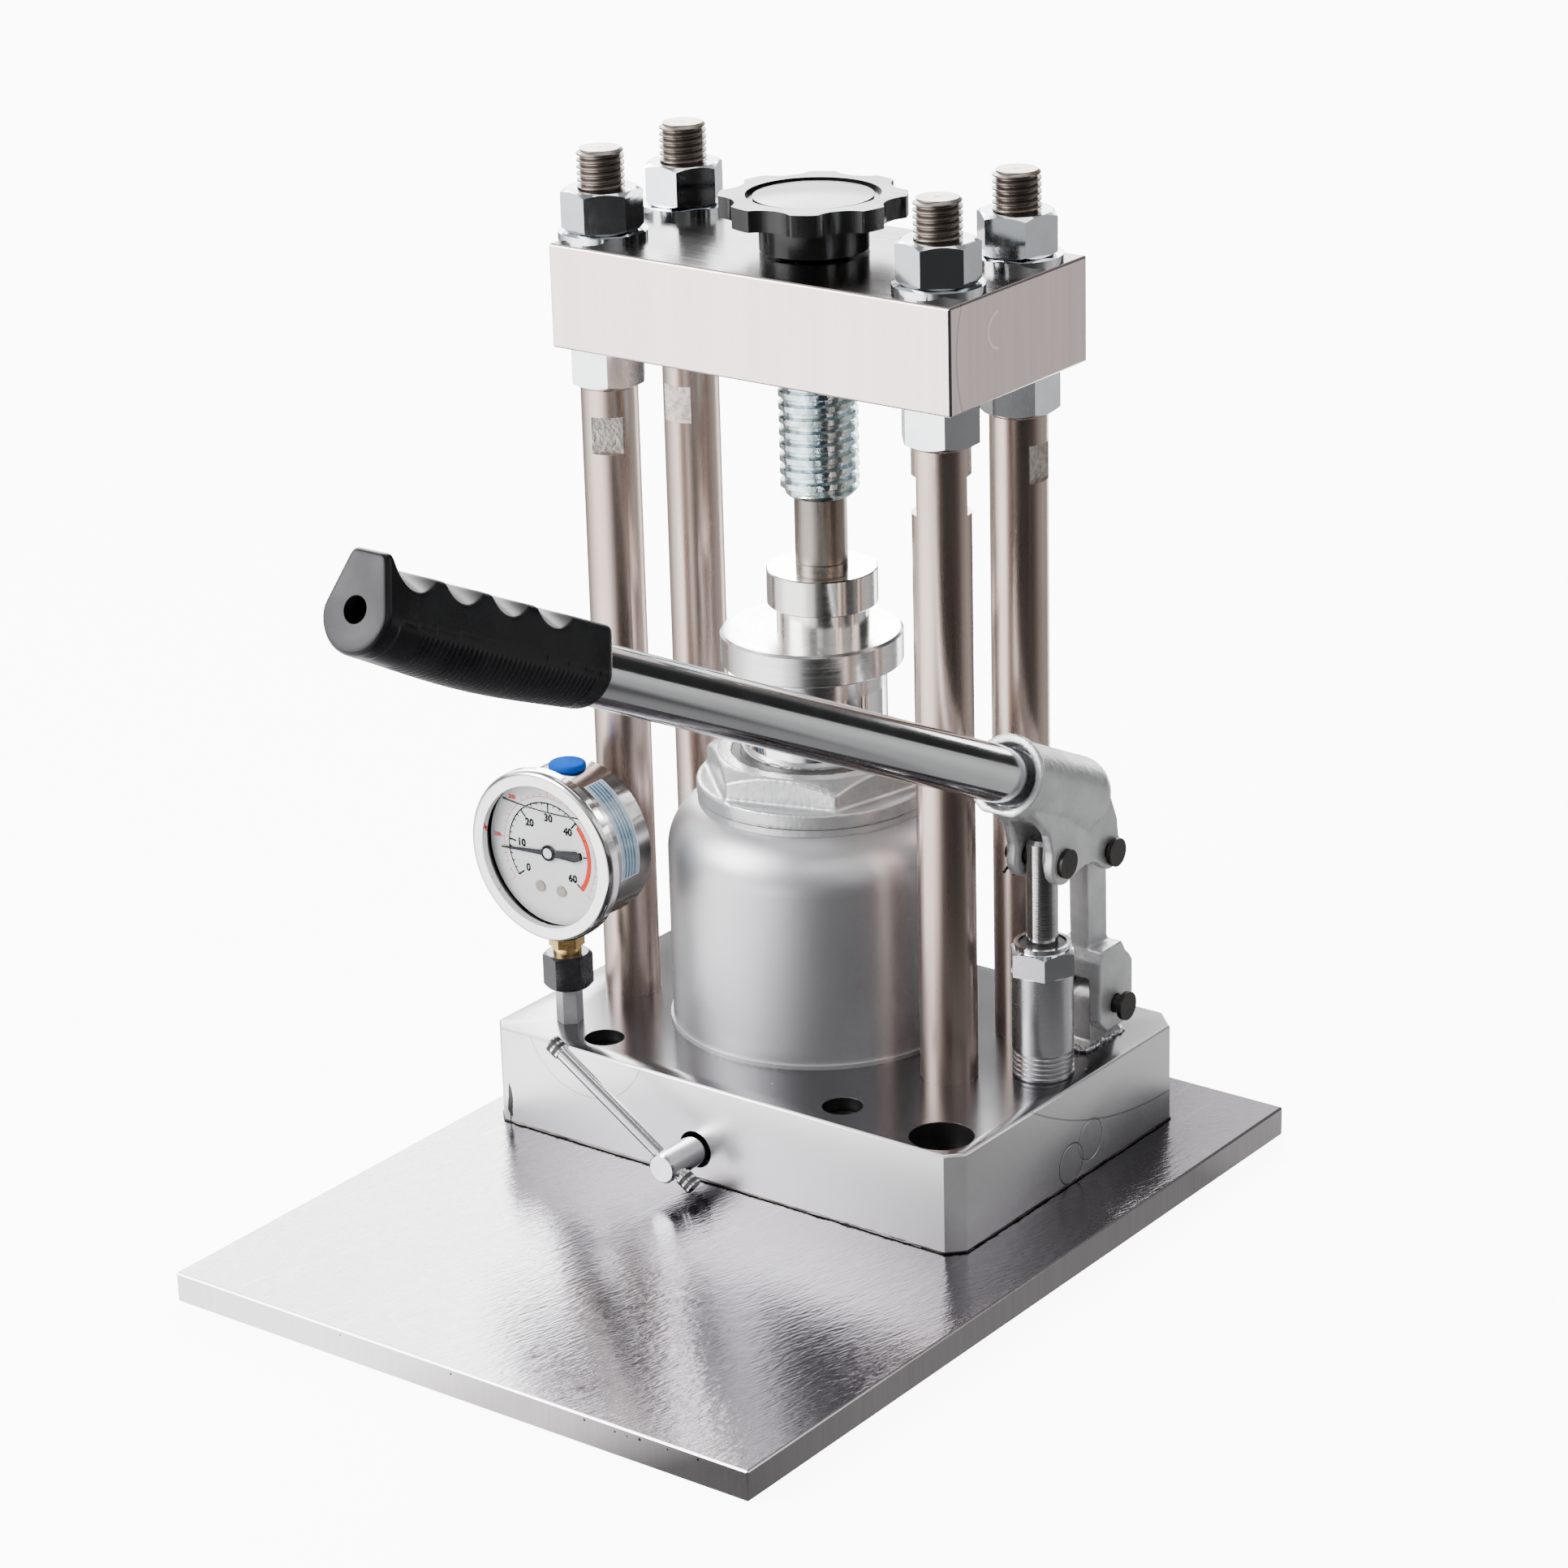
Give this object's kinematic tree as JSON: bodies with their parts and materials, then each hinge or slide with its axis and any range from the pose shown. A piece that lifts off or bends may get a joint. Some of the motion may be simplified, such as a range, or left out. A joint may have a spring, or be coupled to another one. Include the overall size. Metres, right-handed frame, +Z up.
{
  "type": "hydraulic tablet press",
  "caption": "Bench hydraulic press with a four-column frame, hand pump and lever, ram, round die, top screw with star knob, release valve and pressure gauge.",
  "frame": {"origin": "underside of the base plate, midway between the four columns", "axes": "+X to the right, towards the hand pump; +Y to the back, away from the hand grip; +Z up"},
  "size_m": [0.264, 0.4673, 0.391],
  "materials": {
    "silver_paint": "satin",
    "bare_plate": "satin",
    "milled_steel": "satin",
    "ground_steel": "satin",
    "polished_steel": "polished",
    "zinc_plate": "bright",
    "blued_screw": "satin",
    "dark_steel": "satin",
    "ball_steel": "polished",
    "spring_steel": "satin",
    "cylinder_steel": "satin",
    "chrome_plate": "polished",
    "black_plastic": "gloss",
    "black_rubber": "matt",
    "seal_rubber": "matt",
    "blue_rubber": "matt",
    "stem_brass": "satin",
    "dark_coupling": "satin",
    "dial_white": "satin",
    "pointer_black": "satin",
    "lens_glass": "clear"
  },
  "bodies": {
    "frame": {"base_plate": "bare_plate", "pump_block": "silver_paint", "block_screws": "dark_steel", "passage_plugs": "silver_paint", "column_front_left": "ground_steel", "column_front_right": "ground_steel", "column_back_left": "ground_steel", "column_back_right": "ground_steel", "column_lower_nuts": "zinc_plate", "column_top_nuts": "zinc_plate", "column_washers": "zinc_plate", "crosshead": "milled_steel", "inner_cylinder": "cylinder_steel", "tank": "silver_paint", "tank_seals": "silver_paint", "gland_nut": "silver_paint", "gland_wiper": "seal_rubber", "pump_cylinder": "milled_steel", "pump_gland_nut": "zinc_plate", "pump_packing": "seal_rubber", "link_lug": "silver_paint", "check_balls": "ball_steel", "valve_springs": "spring_steel", "relief_screw": "dark_steel", "release_packing": "seal_rubber", "gauge_case": "polished_steel", "gauge_bezel": "polished_steel", "gauge_lens": "lens_glass", "gauge_dial": "dial_white", "gauge_dial_screws": "polished_steel", "gauge_movement": "stem_brass", "gauge_bourdon_tube": "stem_brass", "gauge_stem": "stem_brass", "gauge_coupling_nut": "dark_coupling", "gauge_adapter": "zinc_plate", "gauge_filler_plug": "blue_rubber"},
    "ram": {"ram": "chrome_plate", "ram_head": "polished_steel", "ram_seal": "seal_rubber", "die_base": "polished_steel", "die_ring": "polished_steel"},
    "punch": {"upper_punch": "dark_steel"},
    "screw": {"press_screw": "blued_screw", "knob": "black_plastic", "knob_cap": "black_plastic", "knob_grub_screw": "dark_steel"},
    "plunger": {"pump_plunger": "polished_steel"},
    "lever": {"lever_socket": "silver_paint", "lever_pins": "dark_steel", "lever_cotters": "dark_steel", "handle_tube": "chrome_plate", "handle_grip": "black_rubber"},
    "link": {"pump_link": "silver_paint", "link_lower_pin": "dark_steel", "link_cotter": "dark_steel"},
    "valve": {"release_spindle": "chrome_plate"},
    "bar": {"release_bar": "chrome_plate", "release_bar_rings": "seal_rubber"},
    "pointer": {"gauge_pointer": "pointer_black"}
  },
  "joints": [
    {"name": "ram_stroke", "type": "slide", "parent": "frame", "child": "ram", "axis": [0, 0, 1], "range_m": [-0.026, 0.004]},
    {"name": "screw_lift", "type": "slide", "parent": "frame", "child": "punch", "axis": [0, 0, 1], "range_m": [0, 0.05]},
    {"name": "knob_turn", "type": "hinge", "parent": "punch", "child": "screw", "pos_m": [0.0033, 0, 0.374], "axis": [0, 0, 1], "range_deg": [0, 3600]},
    {"name": "pump_stroke", "type": "slide", "parent": "frame", "child": "plunger", "axis": [0, 0, 1], "range_m": [-0.0193, 0.00827]},
    {"name": "lever_pivot", "type": "hinge", "parent": "plunger", "child": "lever", "pos_m": [0.104, -0.0024, 0.1384], "axis": [1, 0, 0], "range_deg": [-15, 35]},
    {"name": "link_swing", "type": "hinge", "parent": "lever", "child": "link", "pos_m": [0.104, 0.0291, 0.1328], "axis": [1, 0, 0], "range_deg": [-35.5, 15.5]},
    {"name": "release_turn", "type": "hinge", "parent": "frame", "child": "valve", "pos_m": [0.0006, -0.101, 0.0243], "axis": [0, -1, 0], "range_deg": [0, 35]},
    {"name": "bar_slide", "type": "slide", "parent": "valve", "child": "bar", "axis": [0.8396, 0, -0.5432], "range_m": [0, 0.0036]},
    {"name": "pointer_turn", "type": "hinge", "parent": "frame", "child": "pointer", "pos_m": [-0.0762, -0.0726, 0.1249], "axis": [0, 1, 0], "range_deg": [-33, 223]}
  ],
  "couplings": [
    {"joint": "knob_turn", "follows": "screw_lift", "rad_per_m": 1256.6},
    {"joint": "lever_pivot", "follows": "pump_stroke", "rad_per_m": -31.646},
    {"joint": "link_swing", "follows": "pump_stroke", "rad_per_m": 31.646}
  ]
}
